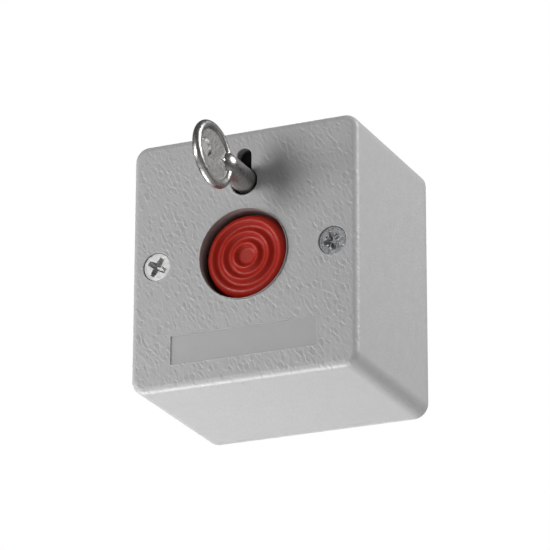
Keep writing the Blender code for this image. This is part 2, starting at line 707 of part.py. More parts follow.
def make_switch_body(look):
    """Moulded switch case with two ears for the lever pin."""
    body = box("switch_body", (SWITCH_LEFT, SWITCH_RIGHT), (-SWITCH_HALF, SWITCH_SPLIT),
               (SWITCH_BACK, SWITCH_TOP))
    ear_inside = LEVER_HALF_WIDTH + GAP
    for index, (low, high) in enumerate(((-4.2 * MM, -ear_inside), (ear_inside, SWITCH_SPLIT))):
        join(body, box(f"ear_{index}", (PIVOT_X - 1.9 * MM, PIVOT_X + 1.9 * MM), (low, high),
                       (SWITCH_TOP - MM, PIVOT_HEIGHT + 1.6 * MM)))
    cut(body, cross_rod("ear_hole", PIVOT_PIN_R + GAP, (PIVOT_X, 0, PIVOT_HEIGHT), 6 * MM, 'Y',
                        sides=12),
        rod("pin_hole", PIN_R + GAP, (17.2 * MM, SWITCH_TOP + MM), at=(PIN_X, 0), sides=16))
    for index, x in enumerate(BLADES_X):
        cut(body, box(f"blade_slot_{index}", (x - 0.6 * MM, x + 0.6 * MM),
                      (-1.9 * MM, 1.9 * MM), (SWITCH_BACK - MM, 9.7 * MM)))
    return as_part(body, look)


def make_switch_cover(look):
    """Thin side cover of the switch case."""
    return as_part(box("switch_cover", (SWITCH_LEFT, SWITCH_RIGHT),
                       (SWITCH_SPLIT + GAP, SWITCH_HALF), (SWITCH_BACK, SWITCH_TOP)), look)


def make_blades(look):
    """Three flat terminals that stand in the case and pass through the board."""
    blades = [box(f"switch_terminal_{index + 1}", (x - 0.3 * MM, x + 0.3 * MM), (-1.6 * MM, 1.6 * MM),
                  (3.3 * MM, 9.4 * MM)) for index, x in enumerate(BLADES_X)]
    return as_parts(blades, look)


def make_lever(look):
    """Lever whose origin is on its pivot; at rest it leans away from the switch."""
    width = LEVER_HALF_WIDTH
    reach = (LEVER_END_X - PIVOT_X) / math.cos(LEVER_REST)
    lever = box("switch_lever", (0, reach), (-width, width), (-LEVER_THICK / 2, LEVER_THICK / 2))
    eye = cross_rod("lever_eye", LEVER_EYE_R, (0, 0, 0), width, 'Y', sides=16)
    hole = cross_rod("lever_hole", PIVOT_PIN_R + GAP, (0, 0, 0), 2 * width, 'Y', sides=12)
    pivot = bpy.data.objects.new("lever_pivot", None)
    pivot.parent = WALL_FRAME
    pivot.location = (PIVOT_X, 0, PIVOT_HEIGHT)
    pivot.rotation_euler = (0, -LEVER_REST, 0)
    PARTS.objects.link(pivot)
    for item in (lever, eye, hole):
        item.parent = pivot
    return as_part(cut(join(lever, eye), hole), look)


def make_lever_pin(look):
    pin = cross_rod("lever_pin", PIVOT_PIN_R, (PIVOT_X, -0.3 * MM, PIVOT_HEIGHT), 3.7 * MM, 'Y',
                    sides=16)
    return as_part(pin, look)


def make_switch_button(look):
    profile = [(0, PIN_TOP), (0.5 * PIN_R, PIN_TOP - 0.1 * MM), (PIN_R, PIN_TOP - 0.6 * MM),
               (PIN_R, PIN_BOTTOM), (0, PIN_BOTTOM)]
    return as_part(turned("switch_button", profile, at=(PIN_X, 0), sides=16), look)


def make_terminal_block(look):
    """Block with a screw well and a wire chamber for each way."""
    block = box("terminal_block", (-BLOCK_HALF, BLOCK_HALF), (BLOCK_LOW, BLOCK_HIGH),
                (BOARD_FRONT + GAP, BLOCK_TOP))
    middle = (BLOCK_LOW + BLOCK_HIGH) / 2
    for index, x in enumerate(BLOCK_WAYS):
        cut(block, rod(f"well_{index}", 1.9 * MM, (12 * MM, BLOCK_TOP + MM), at=(x, middle),
                       sides=16),
            box(f"chamber_{index}", (x - 1.9 * MM, x + 1.9 * MM),
                (BLOCK_LOW - MM, middle + 2.2 * MM), (9.1 * MM, 13.7 * MM)))
    return as_part(block, look)


def make_terminal_clamps(look):
    """A square nut clamp in each chamber, open towards the wire."""
    middle = (BLOCK_LOW + BLOCK_HIGH) / 2
    clamps = []
    for index, x in enumerate(BLOCK_WAYS):
        clamp = box(f"terminal_clamp_{index + 1}", (x - 1.6 * MM, x + 1.6 * MM),
                    (middle - 1.9 * MM, middle + 1.9 * MM), (9.4 * MM, 13.4 * MM))
        cut(clamp, rod(f"clamp_hole_{index}", 1.2 * MM, (11 * MM, 14 * MM), at=(x, middle),
                       sides=12),
            box(f"clamp_mouth_{index}", (x - 1.1 * MM, x + 1.1 * MM),
                (middle - 3 * MM, middle + 3 * MM), (9.9 * MM, 11.6 * MM)))
        clamps.append(clamp)
    return as_parts(clamps, look)


# ---- assembly ----------------------------------------------------------------------------------

def main():
    grey = material("light_grey_plastic", (0.62, 0.61, 0.59), 0.5)
    black = material("black_plastic", (0.03, 0.03, 0.03), 0.5)
    red = material("red_plastic", (0.42, 0.02, 0.015), 0.35)
    steel = material("zinc_plated_steel", (0.62, 0.62, 0.60), 0.35, 1.0)
    bright = material("nickel_plate", (0.66, 0.65, 0.63), 0.25, 1.0)
    brass = material("brass", (0.72, 0.53, 0.25), 0.35, 1.0)
    green = material("board_green", (0.03, 0.16, 0.06), 0.45)

    make_cover(grey)
    make_cover_screws(steel)
    make_base(grey)
    make_inserts(brass)
    make_cap(red)
    make_stem(black)
    make_return_spring(steel)
    make_plate(steel)
    make_small_screws("plate_screw", BOSSES, PLATE_BACK - GAP, SMALL_SCREW_R, SMALL_HEAD_R,
                      1.7 * MM, 7.5 * MM, steel)
    make_latch(steel)
    make_studs(steel)
    make_latch_spring(steel)
    make_barrel(brass)
    make_cam(steel)
    make_small_screws("cam_screw", [(0, LOCK_Y)], CAM_BACK - GAP, 1.2 * MM, 4.6 * MM, 1.5 * MM,
                      2.6 * MM, steel)
    make_key(bright)
    make_board(green)
    make_small_screws("board_screw", STANDOFFS, BOARD_FRONT + GAP, BOARD_SCREW_R, 2.2 * MM,
                      1.5 * MM, -5.4 * MM, steel)
    make_switch_body(black)
    make_switch_cover(black)
    make_blades(steel)
    make_lever(steel)
    make_lever_pin(steel)
    make_switch_button(red)
    make_terminal_block(green)
    middle = (BLOCK_LOW + BLOCK_HIGH) / 2
    make_small_screws("terminal_screw", [(x, middle) for x in BLOCK_WAYS], 13.9 * MM, 0.9 * MM,
                      1.6 * MM, 1.8 * MM, -2.1 * MM, steel)
    make_terminal_clamps(steel)


main()
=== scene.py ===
"""The looks of the emergency push button with a key reset.

Everything is in metres in the model's own frame: X right, Z up, and the wall at y = 0, so a
height h out of the wall is at y = -h. Places come from the frame's nodes.
"""

import math

import bmesh
import bpy
import numpy as np
from mathutils import Matrix, Vector


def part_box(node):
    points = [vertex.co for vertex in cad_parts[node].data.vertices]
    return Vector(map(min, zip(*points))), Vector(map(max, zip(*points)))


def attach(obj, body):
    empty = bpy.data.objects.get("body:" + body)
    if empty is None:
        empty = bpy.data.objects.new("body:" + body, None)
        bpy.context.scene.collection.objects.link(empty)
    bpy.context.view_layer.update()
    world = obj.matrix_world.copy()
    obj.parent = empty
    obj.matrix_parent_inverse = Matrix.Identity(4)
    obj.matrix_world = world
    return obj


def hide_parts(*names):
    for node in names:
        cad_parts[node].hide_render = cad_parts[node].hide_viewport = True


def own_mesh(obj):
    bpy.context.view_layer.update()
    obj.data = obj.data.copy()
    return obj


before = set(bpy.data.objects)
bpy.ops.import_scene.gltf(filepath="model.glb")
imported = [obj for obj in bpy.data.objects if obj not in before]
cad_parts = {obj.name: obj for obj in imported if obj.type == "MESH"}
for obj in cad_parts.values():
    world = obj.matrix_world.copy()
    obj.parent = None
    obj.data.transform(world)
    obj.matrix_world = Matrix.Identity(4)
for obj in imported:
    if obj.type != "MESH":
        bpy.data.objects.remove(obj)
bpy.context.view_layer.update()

MM = 0.001


# ---- places read from the frame ----------------------------------------------------------------

def middle(node):
    """Middle of a CAD node's box."""
    low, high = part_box(node)
    return (Vector(low) + Vector(high)) / 2


COVER_LOW, COVER_HIGH = (Vector(corner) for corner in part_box("cover"))
DEPTH = -COVER_LOW.y
HALF_WIDTH = COVER_HIGH.x
HALF_HEIGHT = COVER_HIGH.z
LOCK_Z = middle("key_barrel").z
SCREWS = [middle(f"cover_screw_{index}") for index in (1, 2)]

# ---- the cover's own sizes ---------------------------------------------------------------------

LEAN = math.tan(math.radians(0.2))
EDGE = 1.75 * MM
CORNER = 4.2 * MM
WALL = 2.5 * MM
INSIDE = DEPTH - WALL
# The front's grid: its cell, how many cells from an edge its points settle, and how often.
CELL, SETTLE_REACH, SETTLE_ROUNDS = 0.15 * MM, 4, 8
# Down the sides: the first ring's step, and how much each later one grows.
SIDE_STEP, SIDE_GROWTH = 0.25 * MM, 1.35
BORE_R = 13.1 * MM
SEAT_R = 4.1 * MM
KEYHOLE_R = 3.9 * MM
NOTCH_R = 2.15 * MM
NOTCH_TOP = 31.0 * MM
LABEL_HALF = 21.7 * MM
LABEL_LOW, LABEL_HIGH = -29.2 * MM, -21.1 * MM
LABEL_SINK = 0.3 * MM
SEAM_HEIGHT = 0.5 * DEPTH
# The seam as (millimetres above its height, millimetres proud of the side).
SEAM = [(0.4, 0.0), (0.12, 0.0), (0.05, 0.012), (0.0, 0.025), (-0.05, 0.015), (-0.15, 0.01),
        (-0.4, 0.01), (-6.0, 0.0)]
# A thin lip round the bore: how far it narrows the bore, and its heights. It stands 0.6 mm proud
# of the front.
LIP, LIP_TOP, LIP_SHOULDER, LIP_FOOT = 0.07 * MM, 51.1 * MM, 51 * MM, 46.5 * MM
# Behind the button's stop the bore goes on as a sleeve: its inner and outer wall, from the bore.
STOP_HEIGHT = 43.3 * MM
SLEEVE_IN, SLEEVE_OUT, SLEEVE_END = 0.8 * MM, 2.2 * MM, 37.2 * MM
# The cover screws' seats: the cone's height and where it starts, and the post's wall.
CONE, CONE_TOP, POST_WALL = 1.8 * MM, 49.7 * MM, 0.5 * MM
BOSS_END = 34.3 * MM
BOSS_R, BOSS_HOLE_R, BOSS_HOLE_TOP = 3.2 * MM, 1.6 * MM, 42 * MM
BOSSES = [middle(f"plate_screw_{index}") for index in (1, 2, 3, 4)]
# The front's grain is two sizes of scales that run down and a little to the right. A few stand
# high and most are low.
GRAIN_SIZE, GRAIN_FINE, GRAIN_FINE_SHARE = 1.15 * MM, 0.7 * MM, 0.3
GRAIN_RUN, GRAIN_STRETCH = (0.4, -0.917), 1.45
GRAIN_BEND, GRAIN_BEND_SIZE = 0.2, 0.6
GRAIN_LEAST, GRAIN_RANGE, GRAIN_SKEW = 0.08, 1.7, 2.4
GRAIN_CRISP = 24
GRAIN_DEPTH, GRAIN_SINK = 0.08 * MM, 0.3
GRAIN_FULL, GRAIN_FADE, GRAIN_MARGIN = 1.5 * MM, 4 * MM, 0.3 * MM
TABLE = 64


# ---- small helpers -----------------------------------------------------------------------------

def smooth_mesh(mesh, angle=35):
    """Smooth shading, with edges sharper than the angle in degrees kept sharp."""
    mesh.shade_smooth()
    mesh.set_sharp_from_angle(angle=math.radians(angle))


def add_object(name, mesh, *looks):
    """A visible object with its materials, in the scene's collection."""
    made = bpy.data.objects.new(name, mesh)
    for look in looks:
        mesh.materials.append(look)
    bpy.context.scene.collection.objects.link(made)
    return made


def from_bmesh(name, shape, *looks, angle=35):
    """A visible object from a bmesh, which is used up."""
    mesh = bpy.data.meshes.new(name)
    shape.to_mesh(mesh)
    shape.free()
    smooth_mesh(mesh, angle)
    return add_object(name, mesh, *looks)


def spun(profile, sides):
    """A bmesh turned about -Y from (radius, height) points that start and end on the axis."""
    shape = bmesh.new()
    rings = []
    for radius, height in profile:
        if radius < 1e-7:
            rings.append([shape.verts.new((0, -height, 0))])
            continue
        turns = [math.tau * index / sides for index in range(sides)]
        rings.append([shape.verts.new((radius * math.cos(turn), -height, radius * math.sin(turn)))
                      for turn in turns])
    for first, second in zip(rings, rings[1:]):
        for index in range(sides):
            after = (index + 1) % sides
            corners = [first[index % len(first)], first[after % len(first)],
                       second[after % len(second)], second[index % len(second)]]
            corners = list(dict.fromkeys(corners))
            if len(corners) > 2:
                shape.faces.new(corners)
    bmesh.ops.recalc_face_normals(shape, faces=shape.faces)
    return shape


def prism(outline, low, high, shrink=1.0):
    """A closed block: an outline of (x, z) points at the high height, shrunk at the low one."""
    shape = bmesh.new()
    rings = [[shape.verts.new((x * scale, -height, z * scale)) for x, z in outline]
             for scale, height in ((1.0, high), (shrink, low))]
    shape.faces.new(rings[0])
    shape.faces.new(rings[1][::-1])
    for index in range(len(outline)):
        after = (index + 1) % len(outline)
        shape.faces.new((rings[0][index], rings[1][index], rings[1][after], rings[0][after]))
    bmesh.ops.recalc_face_normals(shape, faces=shape.faces)
    return shape


def moved(shape, matrix):
    """The same bmesh, carried by a matrix."""
    bmesh.ops.transform(shape, matrix=matrix, verts=shape.verts)
    return shape


def joined(shapes):
    """One bmesh made from several, which are used up."""
    whole = bmesh.new()
    for shape in shapes:
        part = bpy.data.meshes.new("part")
        shape.to_mesh(part)
        shape.free()
        whole.from_mesh(part)
        bpy.data.meshes.remove(part)
    return whole


def read_points(mesh):
    """The mesh's points as the rows of an array."""
    points = np.empty(len(mesh.vertices) * 3)
    mesh.vertices.foreach_get("co", points)
    return points.reshape(-1, 3)


def write_points(mesh, points):
    """Put the mesh's points where the rows of an array say."""
    mesh.vertices.foreach_set("co", points.ravel())
    mesh.update()


def remesh(body, cell, rounds):
    """Give the body an even mesh of the given cell and soften its edges in some rounds."""
    step = body.modifiers.new("even", 'REMESH')
    step.mode = 'VOXEL'
    step.voxel_size = cell
    soften = body.modifiers.new("soften", 'SMOOTH')
    soften.factor = 0.5
    soften.iterations = rounds
    apply_modifiers(body)
    body.data.shade_smooth()


def cut(target, tool):
    """Cut the tool out of the target and remove it."""
    step = target.modifiers.new("cut", 'BOOLEAN')
    step.operation = 'DIFFERENCE'
    step.solver = 'EXACT'
    step.object = tool
    apply_modifiers(target)
    bpy.data.objects.remove(tool, do_unlink=True)


def apply_modifiers(target):
    """Make the target's modifiers part of its mesh."""
    graph = bpy.context.evaluated_depsgraph_get()
    graph.update()
    mesh = bpy.data.meshes.new_from_object(target.evaluated_get(graph))
    old = target.data
    target.modifiers.clear()
    target.data = mesh
    bpy.data.meshes.remove(old)


# ---- materials ---------------------------------------------------------------------------------

class Look:
    """A Principled material with a few shortcuts for its nodes."""

    def __init__(self, name, colour, roughness, metallic=0.0, specular=0.5):
        self.material = bpy.data.materials.new(name)
        self.material.use_nodes = True
        self.tree = self.material.node_tree
        self.shader = self.tree.nodes["Principled BSDF"]
        self.shader.inputs["Base Color"].default_value = (*colour, 1)
        self.shader.inputs["Roughness"].default_value = roughness
        self.shader.inputs["Metallic"].default_value = metallic
        self.shader.inputs["Specular IOR Level"].default_value = specular
        self.place = self.tree.nodes.new("ShaderNodeTexCoord").outputs["Object"]
        self.normal = None

    def link(self, source, target):
        """Join an output to an input."""
        self.tree.links.new(source, target)

    def noise(self, size, detail=3.0, roughness=0.5):
        """Noise whose features are about the given size in metres."""
        node = self.tree.nodes.new("ShaderNodeTexNoise")
        node.inputs["Scale"].default_value = 1 / size
        node.inputs["Detail"].default_value = detail
        node.inputs["Roughness"].default_value = roughness
        self.link(self.place, node.inputs["Vector"])
        return node.outputs["Fac"]

    def cells(self, size):
        """Distance to the borders of irregular cells, bent by noise."""
        bend = self.tree.nodes.new("ShaderNodeTexNoise")
        bend.inputs["Scale"].default_value = 1 / size
        self.link(self.place, bend.inputs["Vector"])
        shift = self.tree.nodes.new("ShaderNodeVectorMath")
        shift.operation = 'MULTIPLY_ADD'
        shift.inputs[1].default_value = (0.5 * size,) * 3
        self.link(bend.outputs["Color"], shift.inputs[0])
        self.link(self.place, shift.inputs[2])
        node = self.tree.nodes.new("ShaderNodeTexVoronoi")
        node.feature = 'DISTANCE_TO_EDGE'
        node.inputs["Scale"].default_value = 1 / size
        self.link(shift.outputs["Vector"], node.inputs["Vector"])
        return node.outputs["Distance"]

    def remap(self, value, low, high, out_low=0.0, out_high=1.0):
        """Carry a value smoothly from one range to another, clamped at both ends."""
        node = self.tree.nodes.new("ShaderNodeMapRange")
        node.interpolation_type = 'SMOOTHSTEP'
        for key, number in (("From Min", low), ("From Max", high),
                            ("To Min", out_low), ("To Max", out_high)):
            node.inputs[key].default_value = number
        self.link(value, node.inputs["Value"])
        return node.outputs["Result"]

    def mix(self, share, first, second):
        """Mix two colours, each a tuple or a socket."""
        node = self.tree.nodes.new("ShaderNodeMix")
        node.data_type = 'RGBA'
        self.link(share, node.inputs["Factor"])
        for colour, socket in ((first, node.inputs[6]), (second, node.inputs[7])):
            if isinstance(colour, tuple):
                socket.default_value = (*colour, 1)
            else:
                self.link(colour, socket)
        return node.outputs[2]

    def facing(self, front, sides):
        """One value on faces that look out of the wall and another on the sides."""
        parts = self.tree.nodes.new("ShaderNodeSeparateXYZ")
        self.link(self.tree.nodes["Texture Coordinate"].outputs["Normal"], parts.inputs[0])
        return self.remap(parts.outputs["Y"], -0.9, -0.4, front, sides)

    def combine(self, operation, first, second):
        """One step of arithmetic on numbers or sockets."""
        node = self.tree.nodes.new("ShaderNodeMath")
        node.operation = operation
        for value, socket in zip((first, second), node.inputs):
            if isinstance(value, (int, float)):
                socket.default_value = value
            else:
                self.link(value, socket)
        return node.outputs["Value"]

    def bump(self, height, distance, strength=1.0):
        """Add a layer of relief; distance is its height in metres."""
        node = self.tree.nodes.new("ShaderNodeBump")
        node.inputs["Strength"].default_value = strength
        node.inputs["Distance"].default_value = distance
        self.link(height, node.inputs["Height"])
        if self.normal is not None:
            self.link(self.normal, node.inputs["Normal"])
        self.normal = node.outputs["Normal"]
        self.link(self.normal, self.shader.inputs["Normal"])

    def colour(self, socket):
        """Let a socket set the colour."""
        self.link(socket, self.shader.inputs["Base Color"])

    def roughness(self, socket):
        """Let a socket set the roughness."""
        self.link(socket, self.shader.inputs["Roughness"])


def grey_plastic(name, colour, roughness):
    """Moulded plastic with fine cells, shallower on the front, and slight mottling."""
    look = Look(name, colour, roughness)
    dark = tuple(0.97 * part for part in colour)
    look.colour(look.mix(look.remap(look.noise(2.5 * MM, 4), 0.3, 0.7), dark, colour))
    look.roughness(look.remap(look.noise(3 * MM, 4), 0.3, 0.7, roughness - 0.04, roughness + 0.05))
    pebbles = look.combine('MULTIPLY', look.remap(look.cells(1.3 * MM), 0.0, 0.3),
                           look.facing(0.2, 1.0))
    look.bump(pebbles, 0.035 * MM, 0.6)
    look.bump(look.noise(0.45 * MM, 2.0, 0.55), 0.035 * MM, 0.5)
    return look.material


def smooth_plastic(name, colour, roughness, wear=1.0, specular=0.5):
    """Smooth moulded plastic with fine scuffs."""
    look = Look(name, colour, roughness, specular=specular)
    dull = tuple(part * (1 - 0.1 * wear) + 0.01 * wear for part in colour)
    look.colour(look.mix(look.remap(look.noise(5 * MM, 5), 0.35, 0.7), colour, dull))
    look.roughness(look.remap(look.noise(1.5 * MM, 5), 0.3, 0.7, roughness - 0.05, roughness + 0.1))
    look.bump(look.noise(0.5 * MM, 3), 0.008 * MM, 0.5)
    return look.material


def metal(name, colour, roughness, blotch=1.2 * MM, pitting=0.01 * MM, dark=0.8, metallic=1.0):
    """Plated or turned metal with blotchy roughness and shallow pits."""
    look = Look(name, colour, roughness, metallic=metallic)
    worn = tuple(dark * part for part in colour)
    look.colour(look.mix(look.remap(look.noise(blotch, 5), 0.35, 0.65), worn, colour))
    look.roughness(look.remap(look.noise(blotch * 0.6, 5), 0.3, 0.7, roughness - 0.07,
                              roughness + 0.12))
    look.bump(look.noise(0.25 * MM, 4), pitting, 0.6)
    return look.material


def make_looks():
    """All materials by name."""
    return {
        "grey": grey_plastic("grey_textured_plastic", (0.41, 0.41, 0.41), 0.46),
        "label": smooth_plastic("label_field_plastic", (0.385, 0.385, 0.383), 0.42, 0.3),
        # The bore's wall is the grey plastic, with painted shade of the recess and a painted reddish
        # reflection of the cap in its colour.
        "bore": smooth_plastic("bore_painted_shade_and_red_reflection", (0.25, 0.215, 0.205), 0.4, 0.3, specular=0.3),
        "base": grey_plastic("grey_base_plastic", (0.36, 0.36, 0.36), 0.5),
        "red": smooth_plastic("red_plastic", (0.38, 0.016, 0.007), 0.36, 0.15, specular=0.28),
        "black": smooth_plastic("black_plastic", (0.02, 0.02, 0.021), 0.4),
        "green": smooth_plastic("green_plastic", (0.04, 0.2, 0.08), 0.4),
        "board": smooth_plastic("board_mask", (0.02, 0.11, 0.04), 0.35),
        "zinc": metal("zinc_plate", (0.66, 0.66, 0.65), 0.3),
        "nickel": metal("nickel_plate", (0.40, 0.39, 0.38), 0.33, pitting=0.001 * MM, dark=0.9),
        "cast": metal("cast_nickel", (0.27, 0.265, 0.26), 0.5, blotch=0.8 * MM,
                      pitting=0.03 * MM, dark=0.7),
        "bright_zinc": metal("bright_zinc_plate", (0.50, 0.50, 0.495), 0.52, dark=0.95),
        "worn_zinc": metal("worn_zinc_plate", (0.27, 0.28, 0.285), 0.45, blotch=0.7 * MM,
                           pitting=0.02 * MM, dark=0.65, metallic=0.55),
        "steel": metal("bright_steel", (0.58, 0.58, 0.58), 0.28),
        "spring": metal("spring_wire", (0.42, 0.42, 0.43), 0.3),
        "brass": metal("turned_brass", (0.72, 0.5, 0.22), 0.28),
    }


# ---- cover -------------------------------------------------------------------------------------

def rect_distance(x, z, half_x, half_z, radius, centre_z=0.0):
    """Signed distance to a rounded rectangle, negative inside."""
    across = np.abs(x) - (half_x - radius)
    along = np.abs(z - centre_z) - (half_z - radius)
    outside = np.hypot(np.maximum(across, 0), np.maximum(along, 0))
    return outside + np.minimum(np.maximum(across, along), 0) - radius


def round_distance(x, z, centre_x, centre_z, radius):
    """Signed distance to a circle, negative inside."""
    return np.hypot(x - centre_x, z - centre_z) - radius


def flat_distance(x, z):
    """The outline where the front's flat part meets its rounded rim."""
    shrink = DEPTH * LEAN + EDGE
    return rect_distance(x, z, HALF_WIDTH - shrink, HALF_HEIGHT - shrink, CORNER - EDGE)


def keyhole_distance(x, z):
    """A round hole with a round-topped notch above it."""
    top = NOTCH_TOP - NOTCH_R
    shaft = np.hypot(x, z - np.clip(z, LOCK_Z, top)) - NOTCH_R
    return np.minimum(round_distance(x, z, 0, LOCK_Z, KEYHOLE_R), shaft)


def label_distance(x, z):
    """The sunk label field under the button."""
    half = (LABEL_HIGH - LABEL_LOW) / 2
    return rect_distance(x, z, LABEL_HALF, half, 0.25 * MM, LABEL_LOW + half)


# Each opening's signed distance and the radius of its edge.
OPENINGS = {
    "bore": (lambda x, z: round_distance(x, z, 0, 0, BORE_R), 0.25 * MM),
    "seat_1": (lambda x, z: round_distance(x, z, SCREWS[0].x, 0, SEAT_R), 0.2 * MM),
    "seat_2": (lambda x, z: round_distance(x, z, SCREWS[1].x, 0, SEAT_R), 0.2 * MM),
    "keyhole": (keyhole_distance, 0.3 * MM),
    "label": (label_distance, 0.12 * MM),
}


def front_distance(x, z):
    """Negative on the flat front, outside every opening's rounded edge."""
    value = flat_distance(x, z)
    for distance, edge in OPENINGS.values():
        value = np.maximum(value, edge - distance(x, z))
    return value


def slope(distance, x, z):
    """Gradient of a distance, by central differences."""
    step = 0.005 * MM
    across = (distance(x + step, z) - distance(x - step, z)) / (2 * step)
    along = (distance(x, z + step) - distance(x, z - step)) / (2 * step)
    size = np.maximum(np.hypot(across, along), 1e-9)
    return across / size, along / size


def snap(distance, x, z, rounds=3):
    """Move points onto the zero line of a distance."""
    for _ in range(rounds):
        value = distance(x, z)
        across, along = slope(distance, x, z)
        x, z = x - value * across, z - value * along
    return x, z


def front_grid():
    """A fine grid over the flat front whose edge follows every outline.

    Returns the points, the quads and the closed loops of boundary points."""
    count_x = int(2 * HALF_WIDTH / CELL)
    count_z = int(2 * HALF_HEIGHT / CELL)
    line_x = np.linspace(-HALF_WIDTH, HALF_WIDTH, count_x + 1)
    line_z = np.linspace(-HALF_HEIGHT, HALF_HEIGHT, count_z + 1)
    x, z = (part.ravel() for part in np.meshgrid(line_x, line_z))
    corner = (np.arange(count_z)[:, None] * (count_x + 1) + np.arange(count_x)).ravel()
    quads = np.stack([corner, corner + 1, corner + count_x + 2, corner + count_x + 1], axis=1)
    quads = quads[front_distance(x[quads].mean(axis=1), z[quads].mean(axis=1)) < 0]
    used, quads = np.unique(quads, return_inverse=True)
    quads = quads.reshape(-1, 4)
    x, z = x[used], z[used]
    sides = np.concatenate([quads[:, [k, (k + 1) % 4]] for k in range(4)])
    keys, counts = np.unique(np.sort(sides, axis=1), axis=0, return_counts=True)
    rim = keys[counts == 1]
    on_rim = np.zeros(len(x), bool)
    on_rim[rim.ravel()] = True
    x[on_rim], z[on_rim] = snap(front_distance, x[on_rim], z[on_rim])
    near = (front_distance(x, z) > -SETTLE_REACH * CELL) & ~on_rim
    for _ in range(SETTLE_ROUNDS):
        x, z = relaxed(x, z, keys, near)
        rim_x, rim_z = relaxed(x, z, rim, on_rim)
        x[on_rim], z[on_rim] = snap(front_distance, rim_x[on_rim], rim_z[on_rim], 2)
    return x, z, quads, closed_loops(rim)


def relaxed(x, z, edges, chosen):
    """The chosen points, moved to the mean of their neighbours."""
    total = np.zeros((3, len(x)))
    for a, b in (edges.T, edges.T[::-1]):
        np.add.at(total[0], a, x[b])
        np.add.at(total[1], a, z[b])
        np.add.at(total[2], a, 1)
    share = np.maximum(total[2], 1)
    return (np.where(chosen, 0.5 * x + 0.5 * total[0] / share, x),
            np.where(chosen, 0.5 * z + 0.5 * total[1] / share, z))


def closed_loops(edges):
    """Chain edges into closed loops of point numbers."""
    following = {}
    for a, b in edges.tolist():
        following.setdefault(a, []).append(b)
        following.setdefault(b, []).append(a)
    loops = []
    while following:
        start = next(iter(following))
        loop, here = [start], start
        while True:
            options = following[here]
            step = options.pop()
            following[step].remove(here)
            if not options:
                del following[here]
            if step == start:
                following.pop(start, None)
                break
            loop.append(step)
            here = step
        loops.append(np.array(loop))
    return loops


class Shell:
    """Collects the points and faces of one closed shell."""

    def __init__(self, x, z, height, quads):
        self.points, self.count = [], 0
        self.ring(x, z, height)
        self.faces = [quads]
        self.extra = []
        self.bosses = []

    def ring(self, x, z, height):
        """Add one ring of points and return their numbers."""
        self.points.append(np.stack([x, np.full(len(x), -height), z], axis=1))
        numbers = np.arange(self.count, self.count + len(x))
        self.count += len(x)
        return numbers

    def bridge(self, first, second):
        """Join two rings by a band of quads."""
        self.faces.append(np.stack([first, np.roll(first, -1), np.roll(second, -1), second], axis=1))

    def sweep(self, ring, x, z, out_x, out_z, stations):
        """Carry a ring through (offset outward, height) stations and return the last ring."""
        for offset, height in stations:
            after = self.ring(x + offset * out_x, z + offset * out_z, height)
            self.bridge(ring, after)
            ring = after
        return ring


def rounded_into(edge, steps=5):
    """Stations from the front's flat round a hole's edge, with offsets towards its middle."""
    turns = [math.radians(90 * (index + 1) / steps) for index in range(steps)]
    return [(edge * math.sin(turn), DEPTH - edge * (1 - math.cos(turn))) for turn in turns]


def outer_stations():
    """Round the rim, down the side past the seam, under the back edge and up the inside.

    The side's rings stand further and further apart, because the grain fades out along it."""
    front = [(EDGE * math.sin(turn), DEPTH - EDGE * (1 - math.cos(turn)))
             for turn in (math.radians(90 * (index + 1) / 8) for index in range(8))]
    heights = [DEPTH - EDGE - SIDE_STEP * SIDE_GROWTH ** step for step in range(12)]
    heights = [height for height in heights if height > SEAM_HEIGHT + MM]
    side = [(EDGE + (DEPTH - height) * LEAN, height) for height in heights]
    seam = []
    for rise, proud in SEAM:
        height = SEAM_HEIGHT + rise * MM
        seam.append((EDGE + (DEPTH - height) * LEAN + proud * MM, height))
    back = EDGE + DEPTH * LEAN
    foot = 0.4 * MM
    rear = [(back - 3 * MM * LEAN, 3 * MM), (back, foot), (back - 0.12 * MM, 0.12 * MM),
            (back - foot, 0), (back - WALL + foot, 0), (back - WALL, foot),
            (back - WALL - 0.5 * INSIDE * LEAN, 0.5 * INSIDE), (back - WALL - INSIDE * LEAN, INSIDE)]
    return front + side + seam + rear


def hole_stations(name, edge):
    """How each opening goes on behind its rounded edge, down to the inside of the front."""
    start = rounded_into(edge)
    if name == "bore":
        return start + [(edge, LIP_TOP), (edge + LIP, LIP_SHOULDER), (edge + LIP, LIP_FOOT),
                        (edge, STOP_HEIGHT),
                        (edge - SLEEVE_IN, STOP_HEIGHT), (edge - SLEEVE_IN, SLEEVE_END),
                        (edge - SLEEVE_OUT, SLEEVE_END), (edge - SLEEVE_OUT, INSIDE)]
    if name == "keyhole":
        return start + [(edge, INSIDE + 0.5 * MM), (edge, INSIDE)]
    if name == "label":
        return start + [(edge, DEPTH - LABEL_SINK)]
    return start + [(edge, CONE_TOP + 0.2 * MM), (edge, CONE_TOP), (edge + CONE, CONE_TOP - CONE),
                    (edge + CONE, BOSS_END), (edge - POST_WALL, BOSS_END),
                    (edge - POST_WALL, INSIDE)]


def boss_rings(shell):
    """The four bosses for the mechanism plate, each a closed sleeve behind the front."""
    turns = np.linspace(0, math.tau, 32, endpoint=False)
    for boss in BOSSES:
        rings = [(BOSS_R, INSIDE), (BOSS_R, BOSS_END), (BOSS_HOLE_R, BOSS_END),
                 (BOSS_HOLE_R, BOSS_HOLE_TOP)]
        numbers = [shell.ring(boss.x + radius * np.cos(turns), boss.z + radius * np.sin(turns),
                              height) for radius, height in rings]
        for first, second in zip(numbers, numbers[1:]):
            shell.bridge(first, second)
        shell.extra.append(numbers[-1])
        shell.bosses.append(numbers[0])


